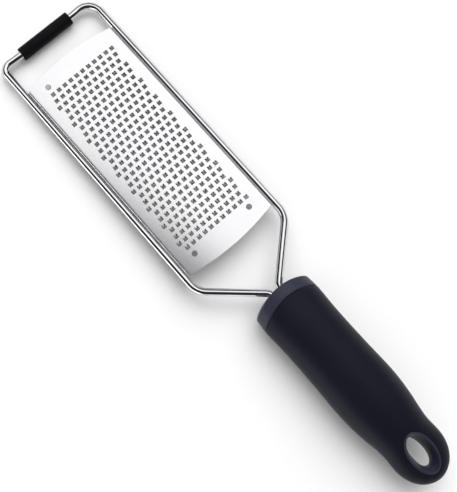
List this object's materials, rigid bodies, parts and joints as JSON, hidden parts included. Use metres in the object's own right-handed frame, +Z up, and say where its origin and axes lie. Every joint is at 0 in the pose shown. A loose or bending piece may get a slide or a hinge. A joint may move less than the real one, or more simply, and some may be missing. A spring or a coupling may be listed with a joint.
{
  "type": "hand grater",
  "caption": "Flat hand grater: an arched sheet of small raised teeth in a bent wire frame, with a soft foot at the far end and a fat grip with an oval hanging hole.",
  "frame": {"origin": "on the surface that the object lies on, under the middle of its bounding box", "axes": "+Y along the length towards the foot, +X across, +Z up, with the object lying at rest teeth up on its foot and the underside of its handle"},
  "size_m": [0.0664, 0.316, 0.0296],
  "materials": {
    "wire_steel": "polished stainless wire",
    "sheet_steel": "satin stainless sheet",
    "foot_rubber": "matte black",
    "core_plastic": "satin slate blue",
    "grip_rubber": "matte blue-black"
  },
  "bodies": {
    "root": {"wire_frame": "wire_steel", "grating_sheet": "sheet_steel", "foot_sleeve": "foot_rubber", "handle_core": "core_plastic", "handle_grip": "grip_rubber"}
  },
  "joints": []
}
